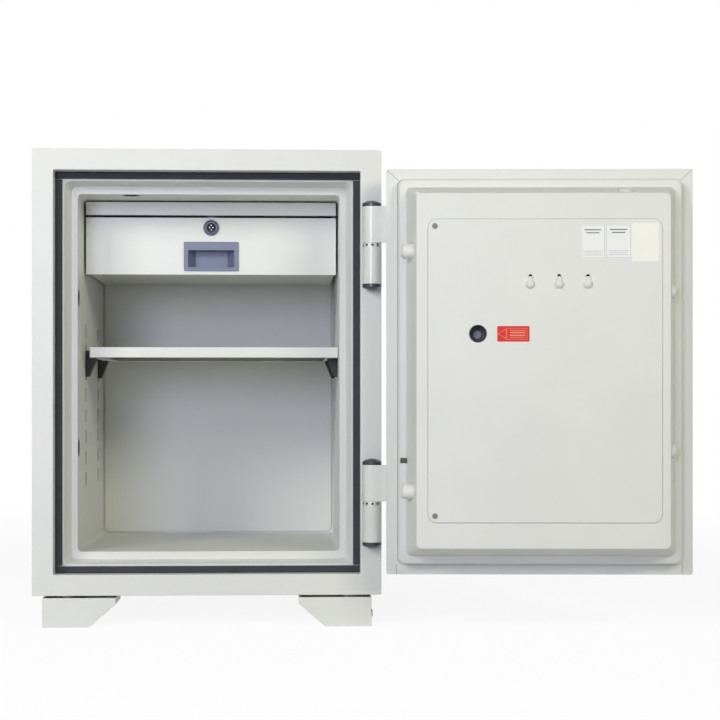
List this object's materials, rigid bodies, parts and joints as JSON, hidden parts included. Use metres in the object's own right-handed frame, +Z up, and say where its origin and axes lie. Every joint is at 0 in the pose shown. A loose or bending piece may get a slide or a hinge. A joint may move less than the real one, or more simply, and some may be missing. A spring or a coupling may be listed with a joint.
{
  "type": "fireproof safe",
  "caption": "Free-standing fire-resistant safe with a stepped plug door open to the right, throwing bolts, a lockable drawer, a shelf on hooked brackets and folded feet.",
  "frame": {"origin": "middle of the front left foot's sole, on the floor", "axes": "+X to the right seen from the front, towards the hinges; +Y to the back; +Z up"},
  "size_m": [0.9041, 0.598, 0.662],
  "materials": {
    "ivory_powder_coat": "semi-matte powder coat",
    "grey_powder_coat": "semi-matte powder coat",
    "white_powder_coat": "semi-matte powder coat",
    "mineral_fill": "cast, porous",
    "seal_rubber": "matte",
    "bright_steel": "brushed",
    "zinc_plated_steel": "zinc plated",
    "chrome_plate": "polished",
    "dark_caps": "smooth",
    "black_bracket": "matte black",
    "black_plastic": "fine texture",
    "grey_button": "smooth",
    "blue_grey_pull": "smooth",
    "key_rubber": "matte"
  },
  "bodies": {
    "safe_body": {"body_shell": "ivory_powder_coat", "back_plate": "ivory_powder_coat", "body_insulation": "mineral_fill", "jamb_frame": "grey_powder_coat", "inner_liner": "grey_powder_coat", "liner_back_panel": "grey_powder_coat", "seal_horizontal": "seal_rubber", "seal_vertical": "seal_rubber", "front_feet": "ivory_powder_coat", "rear_feet": "ivory_powder_coat", "foot_posts": "zinc_plated_steel", "foot_bolts": "zinc_plated_steel", "hinge_body_knuckle_upper": "ivory_powder_coat", "hinge_body_knuckle_lower": "ivory_powder_coat", "hinge_pins": "bright_steel", "hinge_bearings": "bright_steel", "hinge_bottom_caps": "dark_caps", "drawer_cabinet": "white_powder_coat", "cabinet_screws": "zinc_plated_steel", "shelf": "white_powder_coat", "shelf_brackets": "black_bracket"},
    "door": {"door_outer_pan": "ivory_powder_coat", "door_insulation": "mineral_fill", "door_plug_pan": "white_powder_coat", "door_inner_cover": "white_powder_coat", "cover_screws": "zinc_plated_steel", "fixed_bolts": "bright_steel", "hinge_door_knuckle_upper": "ivory_powder_coat", "hinge_door_knuckle_lower": "ivory_powder_coat", "hinge_top_caps": "dark_caps", "mechanism_plate": "zinc_plated_steel", "bolt_guides": "zinc_plated_steel", "lock_case": "black_plastic", "button_well": "black_plastic", "handle_rose": "chrome_plate", "keypad_housing": "black_plastic"},
    "handle": {"handle_lever": "chrome_plate", "handle_spindle": "zinc_plated_steel"},
    "live_bolt_carrier": {"bolt_carrier": "zinc_plated_steel", "live_bolts": "bright_steel"},
    "top_bolt": {"top_bolt": "bright_steel"},
    "reset_button": {"reset_button": "grey_button"},
    "drawer": {"drawer_tray": "white_powder_coat", "drawer_front": "white_powder_coat", "drawer_pull": "blue_grey_pull", "drawer_lock_barrel": "chrome_plate"},
    "drawer_lock": {"drawer_lock_rotor": "black_plastic"},
    "key_1": {"key_1": "key_rubber"},
    "key_2": {"key_2": "key_rubber"},
    "key_3": {"key_3": "key_rubber"},
    "key_4": {"key_4": "key_rubber"},
    "key_5": {"key_5": "key_rubber"},
    "key_6": {"key_6": "key_rubber"},
    "key_7": {"key_7": "key_rubber"},
    "key_8": {"key_8": "key_rubber"},
    "key_9": {"key_9": "key_rubber"},
    "key_star": {"key_star": "key_rubber"},
    "key_0": {"key_0": "key_rubber"},
    "key_hash": {"key_hash": "key_rubber"}
  },
  "joints": [
    {"name": "door_swing", "type": "hinge", "parent": "safe_body", "child": "door", "pos_m": [0.4237, -0.0545, 0.353], "axis": [0, 0, 1], "range_deg": [-177, 3]},
    {"name": "handle_turn", "type": "hinge", "parent": "door", "child": "handle", "pos_m": [0.71037, -0.08354, 0.353], "axis": [0.0523, 0.9986, 0], "range_deg": [-90, 0]},
    {"name": "bolt_throw", "type": "slide", "parent": "door", "child": "live_bolt_carrier", "axis": [0.9986, -0.0523, 0], "range_m": [0, 0.02]},
    {"name": "top_bolt_throw", "type": "slide", "parent": "door", "child": "top_bolt", "axis": [0, 0, 1], "range_m": [0, 0.02]},
    {"name": "drawer_slide", "type": "slide", "parent": "safe_body", "child": "drawer", "axis": [0, -1, 0], "range_m": [0, 0.2]},
    {"name": "drawer_lock_turn", "type": "hinge", "parent": "drawer", "child": "drawer_lock", "pos_m": [0.1959, 0.0895, 0.5658], "axis": [0, 1, 0], "range_deg": [-90, 0]},
    {"name": "reset_button_press", "type": "slide", "parent": "door", "child": "reset_button", "axis": [0.0523, 0.9986, 0], "range_m": [0, 0.0015], "stiffness_N_per_m": 300},
    {"name": "key_1_press", "type": "slide", "parent": "door", "child": "key_1", "axis": [-0.0523, -0.9986, 0], "range_m": [0, 0.0012], "stiffness_N_per_m": 300},
    {"name": "key_2_press", "type": "slide", "parent": "door", "child": "key_2", "axis": [-0.0523, -0.9986, 0], "range_m": [0, 0.0012], "stiffness_N_per_m": 300},
    {"name": "key_3_press", "type": "slide", "parent": "door", "child": "key_3", "axis": [-0.0523, -0.9986, 0], "range_m": [0, 0.0012], "stiffness_N_per_m": 300},
    {"name": "key_4_press", "type": "slide", "parent": "door", "child": "key_4", "axis": [-0.0523, -0.9986, 0], "range_m": [0, 0.0012], "stiffness_N_per_m": 300},
    {"name": "key_5_press", "type": "slide", "parent": "door", "child": "key_5", "axis": [-0.0523, -0.9986, 0], "range_m": [0, 0.0012], "stiffness_N_per_m": 300},
    {"name": "key_6_press", "type": "slide", "parent": "door", "child": "key_6", "axis": [-0.0523, -0.9986, 0], "range_m": [0, 0.0012], "stiffness_N_per_m": 300},
    {"name": "key_7_press", "type": "slide", "parent": "door", "child": "key_7", "axis": [-0.0523, -0.9986, 0], "range_m": [0, 0.0012], "stiffness_N_per_m": 300},
    {"name": "key_8_press", "type": "slide", "parent": "door", "child": "key_8", "axis": [-0.0523, -0.9986, 0], "range_m": [0, 0.0012], "stiffness_N_per_m": 300},
    {"name": "key_9_press", "type": "slide", "parent": "door", "child": "key_9", "axis": [-0.0523, -0.9986, 0], "range_m": [0, 0.0012], "stiffness_N_per_m": 300},
    {"name": "key_star_press", "type": "slide", "parent": "door", "child": "key_star", "axis": [-0.0523, -0.9986, 0], "range_m": [0, 0.0012], "stiffness_N_per_m": 300},
    {"name": "key_0_press", "type": "slide", "parent": "door", "child": "key_0", "axis": [-0.0523, -0.9986, 0], "range_m": [0, 0.0012], "stiffness_N_per_m": 300},
    {"name": "key_hash_press", "type": "slide", "parent": "door", "child": "key_hash", "axis": [-0.0523, -0.9986, 0], "range_m": [0, 0.0012], "stiffness_N_per_m": 300}
  ],
  "couplings": [
    {"joint": "bolt_throw", "follows": "handle_turn", "m_per_rad": -0.012707},
    {"joint": "top_bolt_throw", "follows": "handle_turn", "m_per_rad": -0.012707}
  ]
}
